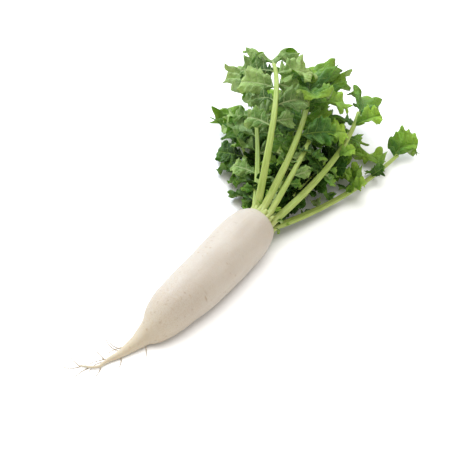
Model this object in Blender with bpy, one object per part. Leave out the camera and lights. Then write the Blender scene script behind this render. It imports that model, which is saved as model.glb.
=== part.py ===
"""Daikon radish lying on its side: one white taproot with its crown of lobed leaves.

Metres, +Z up. The root lies along +Y with the crown at the +Y end and the thin tail at the -Y end,
and its flattened belly rests on z = 0. Inside the functions the centre of the crown's end face is at
x = 0, y = 0; the last step moves everything so that the origin is under the middle of the whole object.
"""

import math

import bpy
from mathutils import Matrix, Vector

GAP = 0.0004                     # clearance between neighbouring pieces

# Taproot: (distance behind the crown face, sideways drift of the centre line, radius)
ROOT_STATIONS = (
    (0.000, 0.000, 0.0205),
    (0.003, 0.000, 0.0238),
    (0.008, 0.000, 0.0268),
    (0.017, 0.000, 0.0296),
    (0.038, 0.001, 0.0325),
    (0.085, 0.004, 0.0322),
    (0.124, 0.005, 0.0312),
    (0.160, 0.003, 0.0284),
    (0.180, 0.002, 0.0256),
    (0.197, 0.000, 0.0200),
    (0.210, -0.004, 0.0122),
    (0.222, -0.006, 0.0086),
    (0.235, -0.009, 0.0060),
    (0.246, -0.012, 0.0042),
    (0.256, -0.016, 0.0030),
    (0.264, -0.018, 0.0022),
    (0.270, -0.019, 0.0018),
    (0.275, -0.023, 0.0015),
    (0.279, -0.029, 0.0012),
    (0.283, -0.037, 0.0009),
)
ROOT_SIDES = 24
ROOT_STEPS = 2                   # rings between two stations
BELLY_CLIP = 0.0012              # how deep the belly is flattened where it rests
TAIL_LIFT = 0.0016               # the tail's centre line runs a little higher than its own radius
CROWN_HEIGHT = ROOT_STATIONS[4][2] - BELLY_CLIP
CROWN_RING = 0.0153              # radius of the ring on which the outer leaf stalks stand

STALK_SIDES = 8
STALK_RINGS = 13
STALK_SUBSTEPS = 8               # steps of the bent centre line between two rings
STALK_TAPER = 0.50               # share of its width that a stalk loses on the way to the end blade
STALK_TOP = 0.78                 # height of the grooved upper side, as a share of the half width
STALK_UNDERSIDE = 0.92
STALK_RAMP = 0.016               # a stalk leaves the crown straight, then takes its own direction
BLADE_THICKNESS = 0.0012
BLADE_ROWS = 5
END_BLADE_ROWS = 8
BLADE_COLUMNS = 4
BLADE_TIP = 0.95                 # the outline stops a little short of a point, so the tip is blunt
BLADE_SHOULDER = 0.80            # below 1 the blade is widest past its middle
BLADE_FULLNESS = 0.75            # below 1 the outline is fuller than a half sine
BLADE_TIP_HALF_WIDTH = 0.0012
LOBE_DEPTH = 0.12                # share of the half width
END_BLADE_LOBES = 3
LEAFLET_LOBES = 2
LEAFLET_BENDS = (-16, 10)        # curl along a side leaflet and fold across it
LEAFLET_GROWTH = (0.66, 0.34)    # share of the full size at the first leaflet, and what the last one adds
LEAFLET_ANGLE = 62               # between a side leaflet and the stalk that carries it
LAST_LEAFLET = 0.86              # place of the last side leaflet along its stalk
LEAFLET_NECK = 0.0016            # bare neck between a leaflet and the side of its stalk

# socket: angle round the crown face (0 = +X, 90 = up) and distance from its middle
# heading: turn away from +Y towards -X, at the crown and at the end; pitch: climb, likewise
# length and width of the stalk; end: length, width, curl, fold and roll of the end blade
# leaflets: the first one's place along the stalk and how many; size: length and width of the largest
LEAVES = {
    "leaf_1": dict(socket=(-22, CROWN_RING), heading=(-21, -2), pitch=(-8, 3), length=0.234, width=0.0098,
                   end=(0.062, 0.048, 10, 26, -8), leaflets=(0.45, 5), size=(0.042, 0.032), lift=(10, 62)),
    "leaf_2": dict(socket=(21, CROWN_RING), heading=(-20, 26), pitch=(26, -6), length=0.222, width=0.0102,
                   end=(0.072, 0.058, -18, 18, 8), leaflets=(0.46, 4), size=(0.044, 0.032), lift=(6, 44)),
    "leaf_3": dict(socket=(61, CROWN_RING), heading=(-2, 28), pitch=(40, -10), length=0.198, width=0.0084,
                   end=(0.084, 0.068, -14, 14, 0), leaflets=(0.48, 3), size=(0.050, 0.036), lift=(0, 6)),
    "leaf_4": dict(socket=(100, CROWN_RING), heading=(-2, 34), pitch=(46, -8), length=0.196, width=0.0102,
                   end=(0.088, 0.070, -26, 14, 0), leaflets=(0.46, 4), size=(0.052, 0.038), lift=(0, 6)),
    "leaf_5": dict(socket=(299, CROWN_RING), heading=(-2, 8), pitch=(-9, 6), length=0.150, width=0.0052,
                   end=(0.070, 0.058, -8, 10, 0), leaflets=(0.52, 2), size=(0.036, 0.028), lift=(4, 36)),
    "leaf_6": dict(socket=(139, CROWN_RING), heading=(16, 44), pitch=(70, -24), length=0.240, width=0.0102,
                   end=(0.086, 0.070, -30, 14, 0), leaflets=(0.48, 4), size=(0.052, 0.038), lift=(0, 6)),
    "leaf_7": dict(socket=(180, CROWN_RING), heading=(32, 44), pitch=(16, 8), length=0.182, width=0.0088,
                   end=(0.080, 0.064, -18, 14, 0), leaflets=(0.38, 4), size=(0.048, 0.035), lift=(0, 6)),
    "leaf_8": dict(socket=(219, CROWN_RING), heading=(38, 52), pitch=(-8, 4), length=0.150, width=0.0078,
                   end=(0.076, 0.060, -6, 10, 0), leaflets=(0.36, 4), size=(0.044, 0.032), lift=(2, 6)),
    "leaf_9": dict(socket=(259, CROWN_RING), heading=(20, 40), pitch=(-6, 2), length=0.205, width=0.0080,
                   end=(0.088, 0.070, -8, 10, 0), leaflets=(0.36, 3), size=(0.048, 0.036), lift=(2, 6)),
    "leaf_10": dict(socket=(90, 0.0), heading=(12, 32), pitch=(16, -4), length=0.220, width=0.0076,
                    end=(0.088, 0.070, -14, 12, 0), leaflets=(0.42, 3), size=(0.050, 0.036), lift=(0, 6)),
}

YOUNG_LEAF_RINGS = 7
YOUNG_LEAF_SIDES = 8
YOUNG_LEAF_FLATNESS = 0.7

# Young leaves in the heart of the crown: socket, heading, pitch; size: length and width
YOUNG_LEAVES = {
    "young_leaf_1": dict(socket=(20, 0.0078), heading=-14, pitch=6, size=(0.034, 0.0060)),
    "young_leaf_2": dict(socket=(200, 0.0078), heading=26, pitch=10, size=(0.046, 0.0060)),
    "young_leaf_3": dict(socket=(300, 0.0078), heading=-6, pitch=-6, size=(0.026, 0.0055)),
}

WHITE_SKIN = ("white_skin", (0.86, 0.81, 0.72, 1), 0.38)
PALE_STALK = ("pale_green_stalk", (0.45, 0.60, 0.18, 1), 0.40)
LEAF_GREEN = ("leaf_green", (0.09, 0.26, 0.04, 1), 0.48)
YOUNG_GREEN = ("young_leaf_green", (0.30, 0.50, 0.10, 1), 0.46)


def clear_scene():
    for item in list(bpy.data.objects):
        bpy.data.objects.remove(item)


def make_material(spec):
    name, colour, roughness = spec
    material = bpy.data.materials.new(name)
    material.use_nodes = True
    shader = material.node_tree.nodes["Principled BSDF"]
    shader.inputs["Base Color"].default_value = colour
    shader.inputs["Roughness"].default_value = roughness
    shader.inputs["Metallic"].default_value = 0
    return material


def add_piece(name, points, faces, material):
    mesh = bpy.data.meshes.new(name)
    mesh.from_pydata(points, [], faces)
    mesh.validate()
    mesh.materials.append(material)
    mesh.shade_smooth()
    piece = bpy.data.objects.new(name, mesh)
    bpy.context.scene.collection.objects.link(piece)
    return piece


def loft(rings):
    """Points and faces of a closed body through rings that all have the same number of points."""
    sides = len(rings[0])
    points = [point for ring in rings for point in ring]
    faces = [tuple(reversed(range(sides)))]
    for row in range(len(rings) - 1):
        for side in range(sides):
            after = (side + 1) % sides
            low, high = row * sides, (row + 1) * sides
            faces.append((low + side, low + after, high + after, high + side))
    last = (len(rings) - 1) * sides
    faces.append(tuple(range(last, last + sides)))
    return points, faces


def smooth_between(before, start, end, after, t):
    """Catmull-Rom value between start and end."""
    return 0.5 * (
        2 * start
        + (end - before) * t
        + (2 * before - 5 * start + 4 * end - after) * t * t
        + (3 * start - before - 3 * end + after) * t ** 3
    )


def root_line():
    """Evenly refined stations of the taproot, from the crown to the tip of the tail."""
    last = len(ROOT_STATIONS) - 1
    line = []
    for i in range(last):
        around = [ROOT_STATIONS[min(max(i + k, 0), last)] for k in (-1, 0, 1, 2)]
        for step in range(ROOT_STEPS):
            t = step / ROOT_STEPS
            line.append(tuple(smooth_between(*(s[k] for s in around), t) for k in range(3)))
    line.append(ROOT_STATIONS[last])
    return line


def root_height(distance, radius):
    """Height of the taproot's centre line: its belly rests on the floor, and the shoulder rises from it."""
    if distance < ROOT_STATIONS[4][0]:
        return CROWN_HEIGHT
    slim = 1 - min(radius / ROOT_STATIONS[4][2], 1)
    return radius - BELLY_CLIP + (BELLY_CLIP + TAIL_LIFT) * slim ** 2


def build_taproot(material):
    """A loft whose rings stand square to the bent centre line, cut flat along the belly."""
    line = root_line()
    middles = [Vector((drift, -distance, 0)) for distance, drift, radius in line]
    rings = []
    for i, (distance, _, radius) in enumerate(line):
        ahead = middles[min(i + 1, len(line) - 1)] - middles[max(i - 1, 0)] if i else Vector((0, -1, 0))
        outward = Vector((-ahead.y, ahead.x, 0)).normalized()
        height = root_height(distance, radius)
        ring = []
        for side in range(ROOT_SIDES):
            angle = 2 * math.pi * side / ROOT_SIDES - math.pi / 2
            point = middles[i] + outward * radius * math.cos(angle)
            point.z = max(height + radius * math.sin(angle), 0)
            ring.append(point)
        rings.append(ring)
    return add_piece("taproot", *loft(rings), material)


def direction(heading, pitch):
    turn, climb = math.radians(heading), math.radians(pitch)
    return Vector((-math.sin(turn) * math.cos(climb), math.cos(turn) * math.cos(climb), math.sin(climb)))


def socket_point(socket):
    angle, distance = math.radians(socket[0]), socket[1]
    return Vector((distance * math.cos(angle), GAP, CROWN_HEIGHT + distance * math.sin(angle)))


def axes_along(tangent, roll=0.0):
    """Sideways and upward unit vectors square to a tangent."""
    side = tangent.cross(Vector((0, 0, 1))).normalized()
    up = side.cross(tangent).normalized()
    turn = Matrix.Rotation(math.radians(roll), 3, tangent)
    return turn @ side, turn @ up


def stalk_line(leaf):
    """(point, tangent) at equal steps from the crown to the end blade."""
    fine = STALK_SUBSTEPS * (STALK_RINGS - 1)
    step = leaf["length"] / fine
    point = socket_point(leaf["socket"])
    line = []
    for i in range(fine + 1):
        t = i / fine
        ramp = min(t * leaf["length"] / STALK_RAMP, 1)
        heading = ramp * (leaf["heading"][0] + (leaf["heading"][1] - leaf["heading"][0]) * t)
        pitch = ramp * (leaf["pitch"][0] + (leaf["pitch"][1] - leaf["pitch"][0]) * t)
        tangent = direction(heading, pitch)
        line.append((point.copy(), tangent))
        point += tangent * step
    return line


def stalk_width(leaf, t):
    """Full width of a stalk: widest near the crown, slender where it meets the end blade."""
    return leaf["width"] * (1 - STALK_TAPER * t)


def place_on_stalk(leaf, t):
    line = stalk_line(leaf)
    return line[round(t * (len(line) - 1))]


def build_stalk(name, leaf, material):
    rings = []
    for point, tangent in stalk_line(leaf)[::STALK_SUBSTEPS]:
        t = len(rings) / (STALK_RINGS - 1)
        side, up = axes_along(tangent)
        half = stalk_width(leaf, t) / 2
        ring = []
        for k in range(STALK_SIDES):
            angle = 2 * math.pi * (k + 0.5) / STALK_SIDES
            fullness = STALK_TOP if math.sin(angle) > 0 else STALK_UNDERSIDE
            ring.append(point - side * half * math.cos(angle) + up * half * fullness * math.sin(angle))
        rings.append(ring)
    return add_piece(name, *loft(rings), material)


def blade_outline(t, lobes):
    """Half width along a blade as a share of its largest, with shallow lobes."""
    body = math.sin(math.pi * (BLADE_TIP * t) ** BLADE_SHOULDER) ** BLADE_FULLNESS
    return body * (1 - LOBE_DEPTH + LOBE_DEPTH * math.cos(2 * math.pi * lobes * t))


def blade_body(base, along, up, size, bends, rows, lobes):
    """A thin curved leaf blade as a closed body. bends are curl along it and fold across it, in degrees."""
    length, width = size
    curl, fold = bends
    across = along.cross(up).normalized()
    tops, bottoms = [], []
    middle = base.copy()
    for row in range(rows + 1):
        t = row / rows
        turn = Matrix.Rotation(math.radians(curl) * t, 3, across)
        ahead, normal = turn @ along, turn @ up
        if row:
            middle = middle + ahead * (length / rows)
        half = max(width / 2 * blade_outline(t, lobes), BLADE_TIP_HALF_WIDTH)
        for column in range(BLADE_COLUMNS + 1):
            s = 2 * column / BLADE_COLUMNS - 1
            lift = abs(s) * math.tan(math.radians(fold))
            point = middle + across * (s * half) + normal * (lift * half)
            tops.append(point + normal * (BLADE_THICKNESS / 2))
            bottoms.append(point - normal * (BLADE_THICKNESS / 2))
    return close_sheet(tops, bottoms, rows, BLADE_COLUMNS)


def close_sheet(tops, bottoms, rows, columns):
    """Joins an upper and a lower grid of points by a rim into one closed body."""
    wide = columns + 1
    count = len(tops)
    faces = []
    for row in range(rows):
        for column in range(columns):
            a = row * wide + column
            b, c, d = a + 1, a + wide + 1, a + wide
            faces.append((a, b, c, d))
            faces.append((d + count, c + count, b + count, a + count))
    edge = [k for k in range(wide)]
    edge += [row * wide + columns for row in range(1, rows + 1)]
    edge += [rows * wide + k for k in range(columns - 1, -1, -1)]
    edge += [row * wide for row in range(rows - 1, 0, -1)]
    for here, there in zip(edge, edge[1:] + edge[:1]):
        faces.append((here, here + count, there + count, there))
    return tops + bottoms, faces


def build_end_blade(name, leaf, material):
    length, width, curl, fold, roll = leaf["end"]
    point, tangent = place_on_stalk(leaf, 1)
    up = axes_along(tangent, roll)[1]
    base = point + tangent * GAP
    body = blade_body(base, tangent, up, (length, width), (curl, fold), END_BLADE_ROWS, END_BLADE_LOBES)
    return add_piece(name, *body, material)


def build_leaflets(name, leaf, material):
    """Side leaflets that alternate left and right and grow towards the end blade."""
    first, count = leaf["leaflets"]
    pieces = []
    for i in range(count):
        t = first + (LAST_LEAFLET - first) * i / (count - 1)
        point, tangent = place_on_stalk(leaf, t)
        side, up = axes_along(tangent, leaf["end"][4])
        hand = 1 if i % 2 else -1
        lift = math.radians(leaf["lift"][i % 2])
        outward = side * (hand * math.cos(lift)) + up * math.sin(lift)
        turn = math.radians(LEAFLET_ANGLE)
        along = (tangent * math.cos(turn) + outward * math.sin(turn)).normalized()
        normal = (up - along * up.dot(along)).normalized()
        grown = LEAFLET_GROWTH[0] + LEAFLET_GROWTH[1] * i / (count - 1)
        size = (leaf["size"][0] * grown, leaf["size"][1] * grown)
        base = point + outward * (stalk_width(leaf, t) / 2 + GAP) + along * LEAFLET_NECK
        body = blade_body(base, along, normal, size, LEAFLET_BENDS, BLADE_ROWS, LEAFLET_LOBES)
        pieces.append(add_piece(f"{name}_leaflet_{i + 1}", *body, material))
    return pieces


def build_young_leaf(name, leaf, material):
    """A short unopened leaf: a flattened spindle."""
    length, width = leaf["size"]
    rings = []
    point = socket_point(leaf["socket"])
    for row in range(YOUNG_LEAF_RINGS):
        t = row / (YOUNG_LEAF_RINGS - 1)
        tangent = direction(leaf["heading"] * t, leaf["pitch"] * t)
        if row:
            point = point + tangent * (length / (YOUNG_LEAF_RINGS - 1))
        side, up = axes_along(tangent)
        half = width / 2 * (0.62 + 0.9 * t - 1.36 * t ** 3)      # swells, then narrows to the tip
        ring = []
        for k in range(YOUNG_LEAF_SIDES):
            angle = 2 * math.pi * k / YOUNG_LEAF_SIDES
            rise = YOUNG_LEAF_FLATNESS * math.sin(angle)
            ring.append(point - side * half * math.cos(angle) + up * half * rise)
        rings.append(ring)
    return add_piece(name, *loft(rings), material)


def stand_over_origin(pieces):
    """Moves every point so that the origin lies on the floor under the middle of the object's box."""
    points = [vertex.co for piece in pieces for vertex in piece.data.vertices]
    low = [min(point[k] for point in points) for k in range(3)]
    high = [max(point[k] for point in points) for k in range(3)]
    shift = Vector((-(low[0] + high[0]) / 2, -(low[1] + high[1]) / 2, -low[2]))
    for piece in pieces:
        piece.data.transform(Matrix.Translation(shift))


def build_radish():
    skin, stalk, green, young = map(make_material, (WHITE_SKIN, PALE_STALK, LEAF_GREEN, YOUNG_GREEN))
    pieces = [build_taproot(skin)]
    for name, leaf in LEAVES.items():
        pieces.append(build_stalk(f"{name}_stalk", leaf, stalk))
        pieces.append(build_end_blade(f"{name}_end_blade", leaf, green))
        pieces += build_leaflets(name, leaf, green)
    for name, leaf in YOUNG_LEAVES.items():
        pieces.append(build_young_leaf(name, leaf, young))
    stand_over_origin(pieces)


clear_scene()
build_radish()
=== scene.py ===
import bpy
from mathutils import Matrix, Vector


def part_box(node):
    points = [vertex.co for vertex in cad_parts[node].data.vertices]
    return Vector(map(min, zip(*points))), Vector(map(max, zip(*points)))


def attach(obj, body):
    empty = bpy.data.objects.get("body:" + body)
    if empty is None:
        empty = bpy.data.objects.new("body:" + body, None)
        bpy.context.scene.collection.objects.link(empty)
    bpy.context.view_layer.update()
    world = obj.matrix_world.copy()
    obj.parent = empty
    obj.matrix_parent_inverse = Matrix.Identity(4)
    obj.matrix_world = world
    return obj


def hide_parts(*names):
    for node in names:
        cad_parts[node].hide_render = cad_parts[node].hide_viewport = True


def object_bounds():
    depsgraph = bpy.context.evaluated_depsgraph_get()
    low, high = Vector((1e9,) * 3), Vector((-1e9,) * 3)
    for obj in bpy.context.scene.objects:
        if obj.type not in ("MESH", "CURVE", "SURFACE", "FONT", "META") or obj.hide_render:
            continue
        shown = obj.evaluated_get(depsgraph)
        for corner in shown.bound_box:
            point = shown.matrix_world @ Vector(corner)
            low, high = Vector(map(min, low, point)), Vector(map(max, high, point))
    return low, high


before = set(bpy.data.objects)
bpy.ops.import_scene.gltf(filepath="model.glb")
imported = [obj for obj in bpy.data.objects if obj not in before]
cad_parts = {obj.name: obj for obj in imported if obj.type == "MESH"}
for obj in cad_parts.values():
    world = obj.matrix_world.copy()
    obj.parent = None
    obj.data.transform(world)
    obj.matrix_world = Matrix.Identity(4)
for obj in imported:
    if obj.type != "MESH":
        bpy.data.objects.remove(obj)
cadBox = [list(corner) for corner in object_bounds()]

import random
from math import cos, exp, pi, radians, remainder, sin

import bpy
import numpy as np
from mathutils import Matrix, Vector, noise

scene = bpy.context.scene
scene.view_settings.view_transform = "Standard"


def smoothBetween(before, start, end, after, t):
    return 0.5 * (2 * start + (end - before) * t + (2 * before - 5 * start + 4 * end - after) * t * t
                  + (3 * start - before - 3 * end + after) * t ** 3)


def between(span, share):
    return span[0] + (span[1] - span[0]) * share


def direction(heading, pitch):
    # heading turns from +Y towards -X, pitch climbs, both in degrees
    turn, climb = radians(heading), radians(pitch)
    return Vector((-sin(turn) * cos(climb), cos(turn) * cos(climb), sin(climb)))


def axesAlong(tangent, roll=0.0):
    side = tangent.cross(Vector((0, 0, 1))).normalized()
    up = side.cross(tangent).normalized()
    turn = Matrix.Rotation(radians(roll), 3, tangent)
    return turn @ side, turn @ up


def addPiece(name, skins, materials, replaced):
    # each skin is closed: points, faces, which faces take the second material, values at the points
    faces, second, start = [], [], 0
    for points, skinFaces, under, _ in skins:
        faces += [tuple(k + start for k in face) for face in skinFaces]
        second += under or [0] * len(skinFaces)
        start += len(points)
    mesh = bpy.data.meshes.new(name)
    mesh.from_pydata([tuple(point) for skin in skins for point in skin[0]], [], faces)
    for material in materials:
        mesh.materials.append(material)
    for key in skins[0][3]:
        values = np.concatenate([skin[3][key] for skin in skins])
        mesh.attributes.new(key, "FLOAT", "POINT").data.foreach_set("value", values.astype(np.float32))
    mesh.polygons.foreach_set("material_index", np.array(second, np.int32))
    mesh.shade_smooth()
    mesh.update()
    piece = bpy.data.objects.new(name, mesh)
    scene.collection.objects.link(piece)
    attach(piece, "root")
    if replaced:
        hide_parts(*replaced)


def loftFaces(ringCount, sides):
    # faces over rings of points, closed at both ends
    faces = [tuple(reversed(range(sides)))]
    for row in range(ringCount - 1):
        low, high = row * sides, (row + 1) * sides
        for side in range(sides):
            after = (side + 1) % sides
            faces.append((low + side, low + after, high + after, high + side))
    last = (ringCount - 1) * sides
    faces.append(tuple(range(last, last + sides)))
    return faces


def feed(tree, socket, value):
    if isinstance(value, (int, float)):
        socket.default_value = value
    elif isinstance(value, tuple):
        socket.default_value = (*value, 1)          # a colour
    else:
        tree.links.new(value, socket)


def addNode(tree, kind, inputs, **settings):
    node = tree.nodes.new(f"ShaderNode{kind}")
    for key, value in settings.items():
        setattr(node, key, value)
    for key, value in inputs.items():
        feed(tree, node.inputs[key], value)
    return node


def mathNode(tree, operation, a, b=None):
    inputs = {0: a} if b is None else {0: a, 1: b}
    return addNode(tree, "Math", inputs, operation=operation).outputs[0]


def times(tree, a, b):
    return mathNode(tree, "MULTIPLY", a, b)


def readAttribute(tree, name):
    return addNode(tree, "Attribute", {}, attribute_name=name).outputs["Fac"]


def ownPlace(tree):
    return addNode(tree, "TexCoord", {}).outputs["Object"]


def joinVector(tree, x, y, z=0.0):
    return addNode(tree, "CombineXYZ", {"X": x, "Y": y, "Z": z}).outputs[0]


def noiseNode(tree, vector, scale, detail=3.0, roughness=0.5, distortion=0.0):
    inputs = {"Vector": vector, "Scale": scale, "Detail": detail, "Roughness": roughness,
              "Distortion": distortion}
    return addNode(tree, "TexNoise", inputs).outputs["Fac"]


def rangeNode(tree, value, fromLow, fromHigh, toLow=0.0, toHigh=1.0, kind="SMOOTHSTEP"):
    inputs = {"Value": value, "From Min": fromLow, "From Max": fromHigh, "To Min": toLow, "To Max": toHigh}
    return addNode(tree, "MapRange", inputs, interpolation_type=kind).outputs["Result"]


def mixColour(tree, factor, first, second):
    inputs = {0: factor, 6: first, 7: second}
    return addNode(tree, "Mix", inputs, data_type="RGBA", clamp_factor=True).outputs[2]


def placeGroup(tree, group, values):
    return addNode(tree, "Group", values, node_tree=group)


def newGroup(name, inputs, outputs):
    group = bpy.data.node_groups.new(name, "ShaderNodeTree")
    for label, value in inputs.items():
        socket = group.interface.new_socket(name=label, in_out="INPUT", socket_type="NodeSocketFloat")
        socket.default_value = value
    for label in outputs:
        group.interface.new_socket(name=label, in_out="OUTPUT", socket_type="NodeSocketFloat")
    return group, group.nodes.new("NodeGroupInput"), group.nodes.new("NodeGroupOutput")


def layColours(tree, body, layers, look):
    # each layer: where it shows, name of its colour
    for share, colour in layers:
        body = mixColour(tree, share, body, look[colour])
    return body


def newMaterial(name, shine, through=None):
    # through: how much light passes into it, how that is coloured, how deep it goes
    material = bpy.data.materials.new(name)
    material.use_nodes = True
    shader = material.node_tree.nodes["Principled BSDF"]
    constants = {"Specular IOR Level": shine}
    if through:
        constants.update(zip(("Subsurface Weight", "Subsurface Radius", "Subsurface Scale"), through))
    for label, value in constants.items():
        shader.inputs[label].default_value = value
    return material, material.node_tree, shader


def finishSurface(tree, shader, body, rough, height, strength, distance=0.0006):
    bump = addNode(tree, "Bump", {"Strength": strength, "Distance": distance, "Height": height})
    for label, value in (("Base Color", body), ("Roughness", rough), ("Normal", bump.outputs["Normal"])):
        tree.links.new(value, shader.inputs[label])


def buildMottleGroup():
    # slow and fine variation from the object's own coordinates
    scales = {"Slow Scale": 30.0, "Fine Scale": 240.0}
    group, given, out = newGroup("growthMottle", scales, ("Slow", "Fine"))
    place = ownPlace(group)
    for label, detail in (("Slow", 3.0), ("Fine", 5.0)):
        speckle = noiseNode(group, place, given.outputs[f"{label} Scale"], detail)
        group.links.new(rangeNode(group, speckle, 0.3, 0.7), out.inputs[label])
    return group


def placeMottle(tree, slow, fine):
    mottle = placeGroup(tree, mottleGroup, {"Slow Scale": slow, "Fine Scale": fine})
    return mottle.outputs["Slow"], mottle.outputs["Fine"]


print("stage: layout")

# the root's stations: distance behind the crown, sideways drift of its middle line, radius
taproot = {
    "stations": (
        (0.000, 0.000, 0.0205), (0.003, 0.000, 0.0238), (0.008, 0.000, 0.0268), (0.017, 0.000, 0.0296),
        (0.038, 0.001, 0.0325), (0.085, 0.004, 0.0322), (0.124, 0.005, 0.0312), (0.160, 0.003, 0.0284),
        (0.180, 0.002, 0.0256), (0.197, 0.000, 0.0200), (0.210, -0.004, 0.0122), (0.222, -0.006, 0.0086),
        (0.235, -0.009, 0.0060), (0.246, -0.012, 0.0042), (0.256, -0.016, 0.0030), (0.264, -0.018, 0.0022),
        (0.270, -0.019, 0.0018), (0.275, -0.023, 0.0015), (0.279, -0.029, 0.0012), (0.283, -0.037, 0.0009),
    ),
    "crownDome": ((0.0016, 0.0008), (0.0016, 0.006), (0.0014, 0.012), (0.0010, 0.0165), (0.0005, 0.0192)),
    "sides": 144,
    "ringSpacing": 0.0011,
    "bellyClip": 0.0012,      # flat strip on which it rests
    "tailLift": 0.0016,
    "lump": 0.00072,          # slow unevenness of the body
    "crease": 0.00016,        # shallow cross creases
    "seed": 11,
    "specks": 90,
    # where side rootlets broke off: distance from the crown, angle round the root, size, depth of colour
    "scars": ((0.0934, 1.97, 0.8, 0.7), (0.0806, 2.01, 0.6, 0.6), (0.0730, 2.09, 0.7, 0.6),
              (0.0650, 2.09, 0.5, 0.5), (0.0431, 1.73, 1.0, 0.4), (0.1406, 0.40, 1.5, 1.0),
              (0.1380, 0.62, 1.4, 0.4)),
    "scarLength": 0.0008, "scarWidth": 0.0024, "scarDepth": 0.0005,
}

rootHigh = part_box("taproot")[1]
fullStation = taproot["stations"][4]          # where the body reaches its full thickness
belly = max(drift + radius for _, drift, radius in taproot["stations"])
crownAt = Vector((rootHigh.x - belly, rootHigh.y, 0))
crownHeight = fullStation[2] - taproot["bellyClip"]
leafCeiling = cadBox[1][2] + 0.0115           # no blade curls up higher than this

print("stage: taproot")
mottleGroup = buildMottleGroup()

rootLook = {
    "skin": ((0.715, 0.630, 0.525), (0.765, 0.690, 0.590)),
    "streak": (0.820, 0.750, 0.650),
    "grain": (0.600, 0.455, 0.300), "grainShare": (0.16, 0.62),            # at the crown, at the tail
    "crossMark": (0.540, 0.380, 0.210), "crossMarkShare": (0.30, 0.75),
    "pore": (0.520, 0.360, 0.200), "poreScale": 260.0,
    "tail": (0.800, 0.690, 0.490), "tailSpan": (0.16, 0.25),
    "shoulder": (0.500, 0.560, 0.200),
    "scar": (0.430, 0.280, 0.130),
    "roughness": (0.44, 0.66), "shine": 0.30,
}


def buildRootMaterial():
    material, tree, shader = newMaterial("rootSkin", rootLook["shine"], (0.22, (1.0, 0.75, 0.5), 0.006))
    fromCrown, scar = readAttribute(tree, "fromCrown"), readAttribute(tree, "scar")
    turnX, turnY = readAttribute(tree, "turnX"), readAttribute(tree, "turnY")

    def ringNoise(stretch, scale, detail, roughness=0.5):
        vector = joinVector(tree, turnX, turnY, times(tree, fromCrown, stretch))
        return noiseNode(tree, vector, scale, detail, roughness)

    slow, fine = placeMottle(tree, 18.0, 150.0)
    # long soft streaks down the root
    streaks = rangeNode(tree, ringNoise(3.0, 5.0, 4.0), 0.45, 0.75, 0.0, 0.35)
    # fine grain, stronger towards the tail
    grain = times(tree, rangeNode(tree, ringNoise(60.0, 14.0, 5.0, 0.7), 0.42, 0.68),
                  rangeNode(tree, fromCrown, 0.10, 0.21, *rootLook["grainShare"]))
    # short cross marks in patches
    marks = times(tree, rangeNode(tree, ringNoise(150.0, 3.2, 2.0, 0.6), 0.62, 0.74),
                  rangeNode(tree, ringNoise(30.0, 1.6, 2.0), 0.45, 0.68))
    markShare = rangeNode(tree, fromCrown, 0.05, 0.20, *rootLook["crossMarkShare"])
    # pores: a few cells of a cell pattern
    cells = addNode(tree, "TexVoronoi", {"Vector": ownPlace(tree), "Scale": rootLook["poreScale"]})
    pores = times(tree, rangeNode(tree, cells.outputs["Distance"], 0.10, 0.24, 1.0, 0.0),
                  rangeNode(tree, cells.outputs["Color"], 0.80, 0.86))
    body = layColours(tree, mixColour(tree, slow, *rootLook["skin"]), (
        (streaks, "streak"), (grain, "grain"), (times(tree, marks, markShare), "crossMark"),
        (times(tree, pores, 0.5), "pore"),
        (rangeNode(tree, fromCrown, *rootLook["tailSpan"], 0.0, 0.80), "tail"),
        (rangeNode(tree, fromCrown, -0.001, 0.005, 0.85, 0.0), "shoulder"),
        (times(tree, scar, 0.65), "scar")), rootLook)
    rough = rangeNode(tree, mathNode(tree, "ADD", fine, marks), 0.0, 1.6, *rootLook["roughness"])
    dips = mathNode(tree, "ADD", marks, times(tree, pores, 0.8))
    height = mathNode(tree, "SUBTRACT", times(tree, fine, 0.35), dips)
    finishSurface(tree, shader, body, rough, height, 0.30)
    return material


def rootLine():
    stations = taproot["stations"]
    last = len(stations) - 1
    line = []
    for i in range(last):
        around = [stations[min(max(i + k, 0), last)] for k in (-1, 0, 1, 2)]
        span = stations[i + 1][0] - stations[i][0]
        steps = max(3, round(span / taproot["ringSpacing"]))
        for step in range(steps):
            line.append(tuple(smoothBetween(*(s[k] for s in around), step / steps) for k in range(3)))
    line.append(stations[last])
    return line


def rootHeight(distance, radius):
    if distance < fullStation[0]:
        return crownHeight
    slim = 1 - min(radius / fullStation[2], 1)
    return radius - taproot["bellyClip"] + (taproot["bellyClip"] + taproot["tailLift"]) * slim ** 2


def rootScars():
    rng = random.Random(taproot["seed"])
    scars = list(taproot["scars"])
    for _ in range(taproot["specks"]):
        # small specks, closer together towards the tail
        scars.append((0.03 + 0.205 * rng.random() ** 0.45, rng.uniform(-pi, pi),
                      0.25 + 0.4 * rng.random(), 0.25 + 0.5 * rng.random()))
    return scars


def scarAt(scars, distance, angle, radius):
    mark = 0.0
    for where, turn, size, depth in scars:
        along = (distance - where) / taproot["scarLength"]
        if abs(along) < 3:
            aside = remainder(angle - turn, 2 * pi) * radius / (taproot["scarWidth"] * size)
            mark = max(mark, depth * exp(-along * along - aside * aside))
    return mark


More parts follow.
